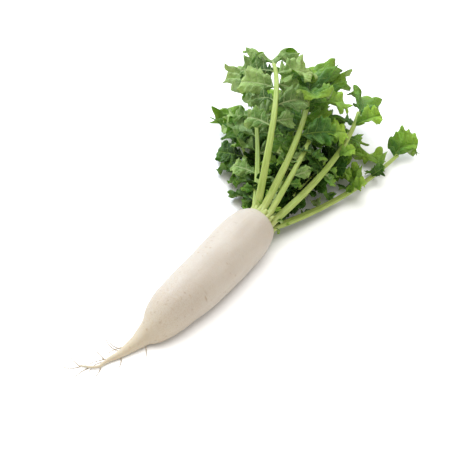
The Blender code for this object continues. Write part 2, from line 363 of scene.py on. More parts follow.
def buildTaproot():
    scars = rootScars()
    points, fromCrown, turnX, turnY, scarMask = [], [], [], [], []
    sides = taproot["sides"]
    dome = [(-rise, 0.0, radius) for rise, radius in taproot["crownDome"]]
    line = dome + rootLine()
    middles = [Vector((drift, -distance, 0)) for distance, drift, _ in line]
    for i, (distance, _, radius) in enumerate(line):
        height = rootHeight(max(distance, 0), radius)
        ahead = Vector((0, -1, 0))
        if i > len(dome):
            ahead = middles[min(i + 1, len(line) - 1)] - middles[i - 1]
        outward = Vector((-ahead.y, ahead.x, 0)).normalized()
        for side in range(sides):
            angle = 2 * pi * side / sides - pi / 2
            x, z = cos(angle), sin(angle)
            swell = noise.noise(Vector((x * 2.2, distance * 34, z * 2.2))) * taproot["lump"]
            swell += noise.noise(Vector((x * 3, distance * 260, z * 3 + 5))) * taproot["crease"]
            mark = scarAt(scars, distance, angle, radius)
            r = radius + swell * min(1, radius / 0.02) - mark * taproot["scarDepth"] * min(1, radius / 0.01)
            point = middles[i] + outward * (r * x)
            point.z = max(height + r * z, 0)
            points.append(crownAt + point)
            fromCrown.append(distance)
            turnX.append(x)
            turnY.append(z)
            scarMask.append(mark)
    values = {"fromCrown": fromCrown, "turnX": turnX, "turnY": turnY, "scar": scarMask}
    addPiece("taproot_body", [(points, loftFaces(len(line), sides), None, values)], [buildRootMaterial()],
             ["taproot"])


buildTaproot()

# fine rootlets at the tail: distance from the crown, side of the root, heading from -Y to +X, length
rootlets = {
    "seed": 3, "radius": 0.00042, "steps": 22, "sides": 6,
    "hairs": ((0.283, 0, -20, 0.026), (0.283, 0, -84, 0.024), (0.279, 1, -34, 0.024),
              (0.270, 1, 34, 0.016), (0.262, -1, -64, 0.024), (0.252, -1, -46, 0.034),
              (0.246, 1, 56, 0.016), (0.238, -1, -62, 0.038), (0.226, -1, -50, 0.040),
              (0.216, 1, 50, 0.014), (0.258, -1, -84, 0.028), (0.232, -1, -36, 0.032)),
    "dark": (0.430, 0.310, 0.180), "pale": (0.600, 0.480, 0.310),
}


def buildRootletMaterial():
    material, tree, shader = newMaterial("rootletSkin", 0.2)
    slow, fine = placeMottle(tree, 160.0, 600.0)
    body = mixColour(tree, slow, rootlets["dark"], rootlets["pale"])
    finishSurface(tree, shader, body, rangeNode(tree, fine, 0, 1, 0.6, 0.8), fine, 0.4, 0.0002)
    return material


def rootletShape(station, side, turn, reach, rng):
    distance, drift, thick = station
    steps, sides = rootlets["steps"], rootlets["sides"]
    heading = radians(180 + turn)
    place = crownAt + Vector((drift + side * thick * 0.8, -distance, max(thick * 0.8, 0.0008)))
    bend = rng.uniform(-0.09, 0.09)
    points = []
    for i in range(steps + 1):
        t = i / steps
        heading += bend + rng.uniform(-0.05, 0.05)
        ahead = Vector((-sin(heading), cos(heading), 0))
        if i:
            place = place + ahead * (reach / steps)
        place.z += (0.0007 - place.z) * 0.30          # sinks to the ground within a few steps
        radius = rootlets["radius"] * (1.15 - t * 0.70)
        aside = Vector((-ahead.y, ahead.x, 0))
        for k in range(sides):
            angle = 2 * pi * k / sides
            rise = Vector((0, 0, radius * sin(angle)))
            points.append(place + aside * radius * cos(angle) + rise)
    return points, loftFaces(steps + 1, sides), None, {}


def buildRootlets():
    rng = random.Random(rootlets["seed"])
    line = rootLine()
    skins = []
    for distance, side, turn, reach in rootlets["hairs"]:
        station = min(line, key=lambda s: abs(s[0] - distance))
        skins.append(rootletShape(station, side, turn, reach, rng))
    addPiece("tail_rootlets", skins, [buildRootletMaterial()], ())


buildRootlets()

print("stage: stalks")

# leaves 1 to 10: angle round the crown face and distance from its middle; heading and pitch of the stalk,
# at the crown and at its end; its length and width; then length, width, curl, fold and roll of the end
# blade; place of the first leaflet and how many; size of the largest; their rise on the left and right;
# small leaflets lower down: lowest place, smallest and largest, which sides (-1 left, 1 right)
ring = 0.0153
leafFields = ("socket", "heading", "pitch", "length", "width", "end", "leaflets", "size", "lift", "small")
leafRows = (
    ((-22, ring), (-21, -2), (-8, 3), 0.234, 0.0098,
     (0.062, 0.048, 10, 26, -8), (0.45, 5), (0.042, 0.032), (10, 62), (0.26, 0.010, 0.022, (-1,))),
    ((21, ring), (-20, 26), (26, -6), 0.222, 0.0102,
     (0.072, 0.058, -18, 18, 8), (0.46, 4), (0.044, 0.032), (6, 44), (0.42, 0.012, 0.022, (-1, 1))),
    ((61, ring), (-2, 28), (40, -10), 0.198, 0.0084,
     (0.084, 0.068, -14, 14, 0), (0.48, 3), (0.050, 0.036), (0, 6), (0.28, 0.014, 0.030, (-1, 1))),
    ((100, ring), (-2, 34), (46, -8), 0.196, 0.0102,
     (0.088, 0.070, -26, 14, 0), (0.46, 4), (0.052, 0.038), (0, 6), (0.40, 0.014, 0.028, (-1, 1))),
    ((299, ring), (-2, 8), (-9, 6), 0.150, 0.0052,
     (0.070, 0.058, -8, 10, 0), (0.52, 2), (0.036, 0.028), (4, 36), (0.30, 0.012, 0.022, (-1,))),
    ((139, ring), (16, 44), (70, -24), 0.240, 0.0102,
     (0.086, 0.070, -30, 14, 0), (0.48, 4), (0.052, 0.038), (0, 6), (0.44, 0.016, 0.028, (1,))),
    ((180, ring), (32, 44), (16, 8), 0.182, 0.0088,
     (0.080, 0.064, -18, 14, 0), (0.38, 4), (0.048, 0.035), (0, 6), (0.16, 0.014, 0.034, (-1, 1))),
    ((219, ring), (38, 52), (-8, 4), 0.150, 0.0078,
     (0.076, 0.060, -6, 10, 0), (0.36, 4), (0.044, 0.032), (2, 6), (0.12, 0.014, 0.032, (-1, 1))),
    ((259, ring), (20, 40), (-6, 2), 0.205, 0.0080,
     (0.088, 0.070, -8, 10, 0), (0.36, 3), (0.048, 0.036), (2, 6), (0.12, 0.014, 0.034, (-1, 1))),
    ((90, 0.0), (12, 32), (16, -4), 0.220, 0.0076,
     (0.088, 0.070, -14, 12, 0), (0.42, 3), (0.050, 0.036), (0, 6), (0.16, 0.014, 0.034, (-1, 1))),
)
leaves = {f"leaf_{i + 1}": dict(zip(leafFields, row)) for i, row in enumerate(leafRows)}

stalk = {
    "ramp": 0.016,            # it leaves the crown straight, then takes its own direction
    "taper": 0.50,
    "steps": 96, "sides": 28,
    "top": 0.80, "under": 0.94, "groove": 0.20,        # shares of the half width
    "ribs": 9, "ribDepth": 0.022, "unevenness": 0.03, "shine": 0.45,
    "fibres": ((0.420, 0.560, 0.110), (0.620, 0.730, 0.220)),
    "deep": (0.340, 0.510, 0.070), "foot": (0.620, 0.660, 0.250),
}


def socketPoint(socket):
    angle, distance = radians(socket[0]), socket[1]
    return crownAt + Vector((distance * cos(angle), 0, crownHeight + distance * sin(angle)))


def stalkLine(leaf):
    point = socketPoint(leaf["socket"])
    line = []
    for i in range(stalk["steps"] + 1):
        t = i / stalk["steps"]
        ramp = min(t * leaf["length"] / stalk["ramp"], 1)
        tangent = direction(ramp * between(leaf["heading"], t), ramp * between(leaf["pitch"], t))
        line.append((point.copy(), tangent))
        point = point + tangent * (leaf["length"] / stalk["steps"])
    return line


def stalkWidth(leaf, t):
    return leaf["width"] * (1 - stalk["taper"] * t)


def buildStalkMaterial():
    material, tree, shader = newMaterial("stalkSkin", stalk["shine"], (0.25, (0.8, 1.0, 0.3), 0.003))
    along, around = readAttribute(tree, "alongStalk"), readAttribute(tree, "aroundStalk")
    fibres = noiseNode(tree, joinVector(tree, around, times(tree, along, 0.045)), 1.5, 4.0, 0.6)
    fibres = rangeNode(tree, fibres, 0.35, 0.68)
    slow, fine = placeMottle(tree, 26.0, 300.0)
    foot = rangeNode(tree, readAttribute(tree, "crownShare"), 0.0, 1.0, 0.0, 0.8)
    body = mixColour(tree, fibres, *stalk["fibres"])
    body = layColours(tree, body, ((times(tree, slow, 0.45), "deep"), (foot, "foot")), stalk)
    height = mathNode(tree, "ADD", fibres, times(tree, fine, 0.3))
    finishSurface(tree, shader, body, rangeNode(tree, fibres, 0, 1, 0.34, 0.5), height, 0.35)
    return material


def stalkShape(line, leaf, steps, sides):
    points, along, around, crownShare = [], [], [], []
    for i in range(steps + 1):
        t = i / steps
        point, tangent = line[round(t * (len(line) - 1))]
        side, up = axesAlong(tangent)
        fromFoot = t * leaf["length"]
        half = stalkWidth(leaf, t) / 2 * (1 + 0.10 * exp(-(fromFoot / 0.006) ** 2))
        if i == 0:
            point = point - tangent * 0.002           # the foot is sunk into the crown
        for k in range(sides):
            angle = 2 * pi * (k + 0.5) / sides - pi / 2
            rise = sin(angle)
            height = rise * (stalk["top"] if rise > 0 else stalk["under"])
            if rise > 0:
                height -= stalk["groove"] * exp(-(cos(angle) / 0.38) ** 2)
            swell = 1 + stalk["ribDepth"] * cos(stalk["ribs"] * angle + 2.0 * sin(7 * t))
            swell *= 1 + stalk["unevenness"] * noise.noise(point * 60 + Vector((0, 0, k * 0.2)))
            points.append(point + (up * height - side * cos(angle)) * half * swell)
            along.append(fromFoot * 1000)
            around.append(angle * half * 1000)
            crownShare.append(exp(-fromFoot / 0.018))
    values = {"alongStalk": along, "aroundStalk": around, "crownShare": crownShare}
    return points, loftFaces(steps + 1, sides), None, values


def buildStalk(name, leaf):
    shape = stalkShape(stalkLine(leaf), leaf, stalk["steps"], stalk["sides"])
    addPiece(f"{name}_stalk_grown", [shape], [stalkSkin], [f"{name}_stalk"])


stalkSkin = buildStalkMaterial()

# stubs of old leaf bases round the crown
stubs = {"count": 17, "seed": 8, "length": (0.005, 0.015), "width": (0.0045, 0.0085),
         "ring": (0.0160, 0.0188), "lean": 0.0030, "sunk": 0.0012}


def buildStubs():
    rng = random.Random(stubs["seed"])
    shapes = []
    for i in range(stubs["count"]):
        angle = 360 * (i + rng.uniform(-0.3, 0.3)) / stubs["count"]
        stub = {"socket": (angle, rng.uniform(*stubs["ring"])), "heading": (0, 0), "pitch": (0, 0),
                "length": rng.uniform(*stubs["length"]), "width": rng.uniform(*stubs["width"])}
        out = Vector((cos(radians(angle)), 0, sin(radians(angle))))
        foot = Vector((0, stubs["sunk"], 0))
        line = [(point + out * stubs["lean"] * (k / stalk["steps"]) ** 2 - foot, tangent)
                for k, (point, tangent) in enumerate(stalkLine(stub))]
        shapes.append(stalkShape(line, stub, 8, 14))
    addPiece("crown_leaf_bases", shapes, [stalkSkin], ())


buildStubs()

print("stage: leaf finishes")

# each leaf finish: deep and bright body, young growth, painted shade for the inner parts, cool tint, rim
# and veins
leafLooks = {
    "leafTop": {
        "deep": (0.034, 0.135, 0.006), "bright": (0.210, 0.440, 0.026), "young": (0.460, 0.730, 0.070),
        "paintedShade": (0.007, 0.034, 0.002), "cool": (0.090, 0.270, 0.070), "rim": (0.190, 0.360, 0.030),
        "veinColour": (0.270, 0.450, 0.080), "veinMix": 0.66, "net": 0.14, "midrib": 0.9, "vein": 0.050,
        "rough": 0.38, "shine": 0.40, "translucent": 0.12, "bump": 1.0},
    "leafUnder": {
        "deep": (0.125, 0.270, 0.036), "bright": (0.450, 0.650, 0.190), "young": (0.600, 0.770, 0.260),
        "paintedShade": (0.036, 0.110, 0.010), "cool": (0.380, 0.560, 0.240), "rim": (0.340, 0.510, 0.120),
        "veinColour": (0.520, 0.640, 0.280), "veinMix": 0.78, "net": 0.18, "midrib": 1.2, "vein": 0.058,
        "rough": 0.52, "shine": 0.26, "translucent": 0.12, "bump": 1.0},
    # the two finishes below are darker, duller copies of the outer ones for the leaves inside the bunch:
    # painted shade
    "innerTopPaintedShade": {
        "deep": (0.014, 0.060, 0.003), "bright": (0.060, 0.160, 0.007), "young": (0.150, 0.300, 0.018),
        "paintedShade": (0.004, 0.020, 0.001), "cool": (0.030, 0.110, 0.020), "rim": (0.090, 0.200, 0.014),
        "veinColour": (0.120, 0.230, 0.040), "veinMix": 0.5, "net": 0.10, "midrib": 0.8, "vein": 0.040,
        "rough": 0.62, "shine": 0.07, "translucent": 0.04, "bump": 0.9},
    "innerUnderPaintedShade": {
        "deep": (0.040, 0.100, 0.014), "bright": (0.080, 0.180, 0.028), "young": (0.150, 0.280, 0.050),
        "paintedShade": (0.014, 0.046, 0.004), "cool": (0.080, 0.170, 0.050), "rim": (0.110, 0.220, 0.040),
        "veinColour": (0.200, 0.300, 0.090), "veinMix": 0.5, "net": 0.10, "midrib": 1.0, "vein": 0.050,
        "rough": 0.68, "shine": 0.06, "translucent": 0.04, "bump": 0.7},
}


def buildVeinGroup():
    # midrib, side veins and the fine net between them, from the blade's own coordinates
    widths = {"Midrib Width": 0.9, "Side Vein Width": 0.05, "Net Scale": 0.55}
    group, given, out = newGroup("leafVeins", widths, ("Veins", "Net", "Height"))
    across, along = readAttribute(group, "across"), readAttribute(group, "alongLeaf")
    phase, edge = readAttribute(group, "veinPhase"), readAttribute(group, "edge")
    flat = joinVector(group, across, along)
    mid = mathNode(group, "DIVIDE", mathNode(group, "ABSOLUTE", across), given.outputs["Midrib Width"])
    midMask = rangeNode(group, mid, 0.35, 1.3, 1.0, 0.0)
    wobble = times(group, noiseNode(group, flat, 0.10, 2.0), 0.22)
    toVein = mathNode(group, "PINGPONG", mathNode(group, "ADD", phase, wobble), 0.5)
    slim = times(group, given.outputs["Side Vein Width"], mathNode(group, "SUBTRACT", 1.25, edge))
    sideMask = rangeNode(group, mathNode(group, "DIVIDE", toVein, slim), 0.5, 1.5, 1.0, 0.0)
    sideMask = times(group, sideMask, rangeNode(group, edge, 0.72, 1.0, 1.0, 0.15))
    veins = mathNode(group, "MAXIMUM", midMask, times(group, sideMask, 0.75))
    cells = addNode(group, "TexVoronoi", {"Vector": flat, "Scale": given.outputs["Net Scale"]},
                    feature="DISTANCE_TO_EDGE").outputs["Distance"]
    net = rangeNode(group, cells, 0.0, 0.16, 1.0, 0.0)
    bulge = rangeNode(group, cells, 0.0, 0.5, 0.0, 0.5)
    height = mathNode(group, "SUBTRACT", bulge, times(group, veins, 0.9))
    for label, value in (("Veins", veins), ("Net", net), ("Height", height)):
        group.links.new(value, out.inputs[label])
    return group


def buildLeafMaterial(name, veinGroup):
    look = leafLooks[name]
    through = (look["translucent"], (0.6, 1.0, 0.25), 0.0015)
    material, tree, shader = newMaterial(name, look["shine"], through)
    veins = placeGroup(tree, veinGroup, {"Midrib Width": look["midrib"], "Side Vein Width": look["vein"]})
    slow, fine = placeMottle(tree, 38.0, 420.0)
    crinkle = noiseNode(tree, ownPlace(tree), 170.0, 3.0, 0.60, 0.8)
    shade = readAttribute(tree, "shade")
    body = layColours(tree, mixColour(tree, slow, look["deep"], look["bright"]), (
        (times(tree, fine, 0.25), "bright"),
        # painted shade: darker in the low parts of the crinkle, the hollows of its bump
        (rangeNode(tree, crinkle, 0.34, 0.56, 0.55, 0.0), "deep"),
        (times(tree, readAttribute(tree, "cool"), 0.7), "cool"),
        # the tone value mixes in young growth above 0 and painted shade below 0
        (rangeNode(tree, shade, 0.0, 1.0, kind="LINEAR"), "young"),
        (rangeNode(tree, shade, 0.0, -1.0, kind="LINEAR"), "paintedShade"),
        (times(tree, veins.outputs["Net"], look["net"]), "veinColour"),
        (rangeNode(tree, readAttribute(tree, "edge"), 0.93, 1.0, 0.0, 0.35), "rim"),
        (times(tree, veins.outputs["Veins"], look["veinMix"]), "veinColour")), look)
    rough = rangeNode(tree, fine, 0.0, 1.0, look["rough"] - 0.08, look["rough"] + 0.1)
    height = mathNode(tree, "ADD", veins.outputs["Height"], times(tree, crinkle, 6.0))
    finishSurface(tree, shader, body, rough, height, look["bump"])
    return material


veinGroup = buildVeinGroup()
outerFinish = [buildLeafMaterial(name, veinGroup) for name in ("leafTop", "leafUnder")]
# darker copies for the leaves inside the bunch: painted shade
paintedShadeFinish = [buildLeafMaterial(name, veinGroup) for name in ("innerTopPaintedShade", "innerUnderPaintedShade")]

blade = {
    "thickness": 0.00045,
    "rowStep": 0.0009, "columns": 24,
    "smallWidth": 0.024, "smallRowStep": 0.0012, "smallColumns": 16,
    "sweep": 0.45,            # how far lobes and side veins lean forward
    "tooth": 0.0016, "toothStep": 0.0056,
    "ripple": 0.13,           # wave of the margin, share of the width
    "pucker": 0.0015,
    "crumple": 0.0090, "crumpleScale": 85.0,
    "veinStep": 0.0098,       # distance between side veins along the midrib
    "ribWidth": 0.0011, "ribDepth": {"side": 0.0008, "end": 0.0011, "hood": 0.0011},
    "softTop": 0.012,         # height over which blades flatten below the leaf ceiling
    "leastHalf": 0.0009,      # a blade is never narrower than this on each side
}
# how many notches a blade may have, and how deep
lobeChoice = {"end": ((3, 4, 4), (0.45, 0.75)), "side": ((1, 2, 3), (0.25, 0.60)),
              "hood": ((0,), (0.0, 0.0))}


def bladeSpine(base, along, up, length, rows, bends, wander):
    # the middle line with its axes: point, ahead, normal, across
    curl, _, twist, sway = bends
    ahead, normal = along.normalized(), (up - along * up.dot(along)).normalized()
    point = base.copy()
    spine = []
    for i in range(rows + 1):
        across = ahead.cross(normal)
        spine.append((tuple(point), tuple(ahead), tuple(normal), tuple(across)))
        bend = radians(curl + wander * cos(3 * pi * i / rows)) / rows
        step = Matrix.Rotation(bend, 3, across) @ Matrix.Rotation(radians(sway) / rows, 3, normal)
        step = Matrix.Rotation(radians(twist) / rows, 3, ahead) @ step
        ahead, normal = (step @ ahead).normalized(), (step @ normal).normalized()
        point = point + ahead * (length / rows)
    return [np.array(part) for part in zip(*spine)]


def bladeOutline(u, kind, lobes, depth, teeth, phase, toothShare, rng):
    power = 0.92 if kind == "side" else 1.12
    body = np.sin(np.pi * np.clip(0.015 + 0.965 * u, 0, 1) ** power) ** 0.62
    neck = np.clip(u / 0.14, 0, 1)
    body = body * (0.14 + 0.86 * neck * neck * (3 - 2 * neck))
    for lobe in range(lobes):
        where = 0.20 + 0.46 * (lobe + rng.uniform(-0.2, 0.2)) / max(lobes - 1, 1)
        body = body * (1 - depth * (1.15 - where) * np.exp(-((u - where) / 0.038) ** 2))
    body = body * (1 + 0.10 * np.sin(23 * u + 9 * phase) + 0.07 * np.sin(41 * u + 17 * phase))
    x = np.mod(teeth * u + phase + 0.25 * np.sin(7 * u + phase * 9), 1)
    scallop = np.sqrt(np.clip(4 * x * (1 - x), 0, 1)) * (1 - 0.35 * x)
    return body + toothShare * (scallop - 0.55) * np.clip(body * 1.6, 0, 1)


def crumpleField(rows, wide, length, width, rng):
    shift, grain = Vector((rng.uniform(0, 50), rng.uniform(0, 50), 0)), blade["crumpleScale"]
    field = []
    for i in range(rows + 1):
        for k in range(wide):
            place = Vector((i / rows * length * grain, (k / (wide - 1) - 0.5) * width * grain, 0))
            field.append(noise.noise(place + shift))
    return np.array(field).reshape(rows + 1, wide)


def marginWave(u, v, width, swell, rng):
    lift = np.zeros((len(u), len(v)))
    for hand in (v < 0, v > 0):
        slow, quick = rng.uniform(2.0, 3.4), rng.uniform(4.6, 7.0)
        slowStart, quickStart = rng.uniform(0, 6.28), rng.uniform(0, 6.28)
        wave = np.sin(2 * np.pi * slow * u + slowStart) + 0.55 * np.sin(2 * np.pi * quick * u + quickStart)
        amount = blade["ripple"] * width * (swell * wave)[:, None] * np.abs(v[None, :]) ** 2.0
        lift += np.where(hand[None, :], amount, 0)
    return lift


def sheetFaces(rows, wide, underUp):
    # two sheets joined round their edge; the second list says which faces take the underside's finish
    count = (rows + 1) * wide
    faces, under = [], []
    for row in range(rows):
        for column in range(wide - 1):
            k = row * wide + column
            faces.append((k, k + 1, k + wide + 1, k + wide))
            faces.append((k + wide + count, k + wide + 1 + count, k + 1 + count, k + count))
            under += [1, 0] if underUp else [0, 1]
    edge = list(range(wide)) + [row * wide + wide - 1 for row in range(1, rows + 1)]
    edge += [rows * wide + k for k in range(wide - 2, -1, -1)]
    edge += [row * wide for row in range(rows - 1, 0, -1)]
    for here, there in zip(edge, edge[1:] + edge[:1]):
        faces.append((here, here + count, there + count, there))
        under.append(0)
    return faces, under


def keepInside(points, count, topIsUp):
    # both sheets stay above the ground, the lower one nearer to it, and slow down below the leaf ceiling
    near, far = 0.0006, 0.0010
    points[:count, 2] = np.maximum(points[:count, 2], np.where(topIsUp, far, near))
    points[count:, 2] = np.maximum(points[count:, 2], np.where(topIsUp, near, far))
    soft = blade["softTop"]
    tall = points[:, 2] > leafCeiling - soft
    points[tall, 2] = leafCeiling - soft * np.exp(-(points[tall, 2] - leafCeiling + soft) / soft)


def bladeMesh(base, along, up, size, bends, kind, rng, shade, underUp, halfScale=(1, 1)):
    length, width = size
    small = width < blade["smallWidth"]
    rows = max(16, round(length / blade["smallRowStep" if small else "rowStep"]))
    half = blade["smallColumns" if small else "columns"] // 2
    u = np.linspace(0, 1, rows + 1)
    s = np.linspace(-1, 1, 2 * half + 1)
    v = np.sign(s) * np.abs(s) ** 1.3
    left, wide = v[None, :] < 0, len(v)
    middle, ahead, normal, across = bladeSpine(base, along, up, length, rows, bends, rng.uniform(-8, 8))
    lobes, depth = rng.choice(lobeChoice[kind][0]), rng.uniform(*lobeChoice[kind][1])
    halves = []
    for scale in halfScale:
        outline = bladeOutline(u, kind, lobes, depth, length / blade["toothStep"], rng.random(),
                               2 * blade["tooth"] / width, rng)
        halves.append(np.maximum(outline * scale * width / 2, blade["leastHalf"]))
    w = np.where(left, halves[0][:, None], halves[1][:, None])
    r = np.abs(v)[None, :] * np.ones_like(w)                  # 0 at the midrib, 1 at the margin
    phase = max(2.5, length / blade["veinStep"]) * u[:, None] + np.where(left, 0.0, 0.45)
    swell = np.sin(np.pi * np.clip(u, 0, 1)) ** 0.5
    lift = np.tan(radians(bends[1])) * r * w * (1 - 0.3 * r) + 0.12 * w * np.sin(np.pi * r)
    lift += marginWave(u, v, width, swell, rng)
    ridge = np.abs(np.sin(np.pi * phase)) - 0.55
    lift += blade["pucker"] * min(1, width / 0.035) * ridge * np.sin(np.pi * r) ** 0.6 * swell[:, None]
    field = crumpleField(rows, wide, length, width, rng)
    lift += blade["crumple"] * field * np.clip(r * 1.6, 0, 1) * swell[:, None]
    sweep = blade["sweep"] * r * w * (1 - u[:, None] ** 3)
    aside = np.sign(v)[None, :] * r * w
    places = (middle[:, None, :] + across[:, None, :] * aside[..., None]
              + ahead[:, None, :] * sweep[..., None] + normal[:, None, :] * lift[..., None])
    ribDepth = blade["ribDepth"][kind] * (1 - 0.8 * u)[:, None]
    rib = ribDepth * np.exp(-((r * w) / blade["ribWidth"]) ** 2)
    thin = blade["thickness"] / 2
    full, shallow = (thin + rib)[..., None], (thin + rib * 0.35)[..., None]
    over, below = (full, shallow) if underUp else (shallow, full)
    top, bottom = places + normal[:, None, :] * over, places - normal[:, None, :] * below
    points = np.concatenate([top.reshape(-1, 3), bottom.reshape(-1, 3)])
    count = (rows + 1) * wide
    keepInside(points, count, np.repeat(normal[:, 2] > 0, wide))
    faces, under = sheetFaces(rows, wide, underUp)
    # tone value per point: the blade's own tone plus painted shade, darker towards its base; also darker
    # along the midrib and lighter towards the tip and margin
    flat = {"across": aside * 1000, "alongLeaf": (u[:, None] * length + sweep) * 1000,
            "veinPhase": phase, "edge": r,
            "shade": shade + 1.0 * (u[:, None] - 0.55) + 0.35 * (r - 0.5)}
    attributes = {key: np.tile(values.reshape(-1), 2) for key, values in flat.items()}
    attributes["cool"] = np.full(2 * count, rng.random() ** 2)
    return points, faces, under, attributes


def leafletFrame(line, leaf, t, hand, lift, roll, angle, spin=0.0):
    # where a leaflet starts on its stalk, its direction and its normal
    point, tangent = line[round(t * (len(line) - 1))]
    side, up = axesAlong(tangent, roll)
    outward = side * (hand * cos(lift)) + up * sin(lift)
    along = (tangent * cos(angle) + outward * sin(angle)).normalized()
    normal = (up - along * up.dot(along)).normalized()
    normal = Matrix.Rotation(radians(spin), 3, along) @ normal
    wide = stalkWidth(leaf, t)            # it starts a little inside the stalk
    return point + outward * (wide * 0.36) - up * (wide * 0.15), along, normal


def bladeBends(rng, curl, fold, twist=30, sway=18):
    return (curl + rng.uniform(-22, 16), fold + rng.uniform(-8, 14), rng.uniform(-twist, twist),
            rng.uniform(-sway, sway))


print("stage: inner leaves")

# tiny curled leaves at the foot of the stalks: leaf it grows on, place, side, length
sprouts = {
    "seed": 12,
    "at": (("leaf_2", 0.05, 1, 0.007), ("leaf_3", 0.07, 1, 0.009), ("leaf_1", 0.03, 1, 0.008),
           ("leaf_4", 0.06, -1, 0.009), ("leaf_3", 0.20, -1, 0.013), ("leaf_10", 0.10, 1, 0.010),
           ("leaf_2", 0.08, -1, 0.009), ("leaf_1", 0.06, -1, 0.008), ("leaf_8", 0.06, -1, 0.010),
           ("leaf_3", 0.04, -1, 0.008), ("leaf_4", 0.04, 1, 0.008), ("leaf_1", 0.10, 1, 0.006)),
}


def buildSprouts():
    rng = random.Random(sprouts["seed"])
    parts = []
    for name, t, hand, size in sprouts["at"]:
        leaf, lift = leaves[name], radians(rng.uniform(-10, 50))
        base, along, normal = leafletFrame(stalkLine(leaf), leaf, t, hand, lift, 0, radians(48),
                                           rng.uniform(-60, 60))
        bends = bladeBends(rng, -120, 30, 80, 50)
        parts.append(bladeMesh(base, along, normal, (size, size * 0.5), bends, "side", rng,
                               rng.uniform(0.1, 0.8), rng.random() < 0.3))
    addPiece("crown_sprouts", parts, outerFinish, ())


# short leaves that fill the middle of the bunch
innerLeaves = {
    "count": 16, "seed": 5, "lowest": 0.006,
    "heading": (-4, 48), "pitch": (-8, 20), "length": (0.075, 0.150), "width": 0.0046,
    "leaflet": (0.016, 0.030), "endBlade": 0.040, "spacing": 0.013, "angle": 62,
    "first": 0.26, "reach": 0.70,         # leaflets start here and go on so far, share of the length
}


def buildInnerLeaves():
    rng = random.Random(innerLeaves["seed"])
    stalks, sides = [], {"right": [], "left": []}
    for i in range(innerLeaves["count"]):
        blades = sides["left" if 2 * i >= innerLeaves["count"] else "right"]
        share = (i + rng.random()) / innerLeaves["count"]
        heading = between(innerLeaves["heading"], share)
        leaf = {
            "socket": (rng.uniform(0, 360), ring * rng.uniform(0.15, 0.8)),
            "heading": (heading * 0.6, heading + rng.uniform(-10, 16)),
            "pitch": (rng.uniform(*innerLeaves["pitch"]) * (1.15 - share), rng.uniform(-14, 8)),
            "length": rng.uniform(*innerLeaves["length"]),
            "width": innerLeaves["width"] * rng.uniform(0.8, 1.2)}
        line = [(Vector((p.x, p.y, max(p.z, innerLeaves["lowest"]))), tangent)
                for p, tangent in stalkLine(leaf)]
        stalks.append(stalkShape(line, leaf, 40, 12))
        size = innerLeaves["endBlade"] * rng.uniform(0.8, 1.25)
        point, tangent = line[-1]
        _, up = axesAlong(tangent, rng.uniform(-30, 30))
        bends = bladeBends(rng, -20, 18)
        # inner end blades lean to dark tones: painted shade inside the bunch
        blades.append(bladeMesh(point - tangent * 0.002, tangent, up, (size, size * 0.8), bends, "end", rng,
                                rng.uniform(-0.8, 0.1), rng.random() < 0.15))
        steps = round(leaf["length"] * 0.78 / innerLeaves["spacing"])
        for k in range(steps):
            for hand in (-1, 1):
                t = innerLeaves["first"] + innerLeaves["reach"] * (k + rng.uniform(0, 0.5)) / steps
                size = between(innerLeaves["leaflet"], t) * rng.uniform(0.75, 1.2)
                lift = radians(rng.uniform(-10, 45))
                angle = radians(innerLeaves["angle"]) + rng.uniform(-0.3, 0.3)
                base, out, normal = leafletFrame(line, leaf, t, hand, lift, 0, angle, rng.uniform(-50, 50))
                bends = bladeBends(rng, -45, 22, 60, 35)
                # inner leaflets take only dark tones: painted shade inside the bunch
                blades.append(bladeMesh(base, out, normal, (size, size * 0.74), bends, "side", rng,
                                        rng.uniform(-1.0, -0.4), rng.random() < 0.06))
    addPiece("inner_leaf_stalks", stalks, [stalkSkin], ())
    for side, blades in sides.items():
        addPiece(f"inner_leaf_blades_{side}", blades, paintedShadeFinish, ())


buildSprouts()
buildInnerLeaves()

print("stage: leaves")

leaflet = {
    "angle": 62,              # between a side leaflet and its stalk
    "last": 0.86,             # its place along the stalk
    "longer": 1.14, "wider": 1.20,
    "partner": 0.84,          # size of the second leaflet of a pair
    "smallStep": 0.011,       # spacing of the small leaflets lower on a stalk
    "rightHang": 30, "leftHang": 8,
}
# left and right partner of a pair, where they differ
partnerSize = {"leaf_1": (0.8, 0.0), "leaf_2": (0.9, 0.5), "leaf_5": (0.7, 0.0)}
# leaflets that stay small, so that their stalk shows
leafletScale = {"leaf_1": (1.0, 0.85, 1.0, 0.5, 0.9), "leaf_2": (1.0, 0.6, 1.0, 0.75)}
# end blades that differ: first turn and further turn to the left, roll, length, width, left and right half
endShapes = {
    "leaf_1": dict(turn=34, sway=-96, roll=10, long=0.68, wide=0.86, halves=(1.0, 1.0), setBack=0.007,
                   kind="hood"),
    "leaf_2": dict(turn=-14, sway=22, roll=30, long=0.9, wide=0.78, halves=(1.0, 1.0)),
}
# a blade folded back over the end of its stalk: length, width
foldedBack = {"leaf_4": (0.044, 0.054)}
undersideUp = ("leaf_6", "leaf_7")


def buildEndBlade(name, leaf, line, rng):
    length, width, curl, fold, roll = leaf["end"]
    point, tangent = line[-1]
    plain = dict(turn=0, sway=rng.uniform(-14, 14), roll=roll, long=1, wide=1.08, halves=(1, 1))
    shape = endShapes.get(name, plain)
    _, up = axesAlong(tangent, shape["roll"])
    ahead = Matrix.Rotation(radians(shape["turn"]), 3, up) @ tangent
    shade = rng.uniform(0.0, 0.35)
    bends = (curl + rng.uniform(-12, 12), fold + rng.uniform(-4, 10), rng.uniform(-25, 25), shape["sway"])
    base = point - tangent * shape.get("setBack", 0.003)
    size = (length * shape["long"] + 0.003, width * shape["wide"])
    mesh = bladeMesh(base, ahead, up, size, bends, shape.get("kind", "end"), rng, shade,
                     name in undersideUp, shape["halves"])
    addPiece(f"{name}_end_blade_grown", [mesh], outerFinish, [f"{name}_end_blade"])
    return shade


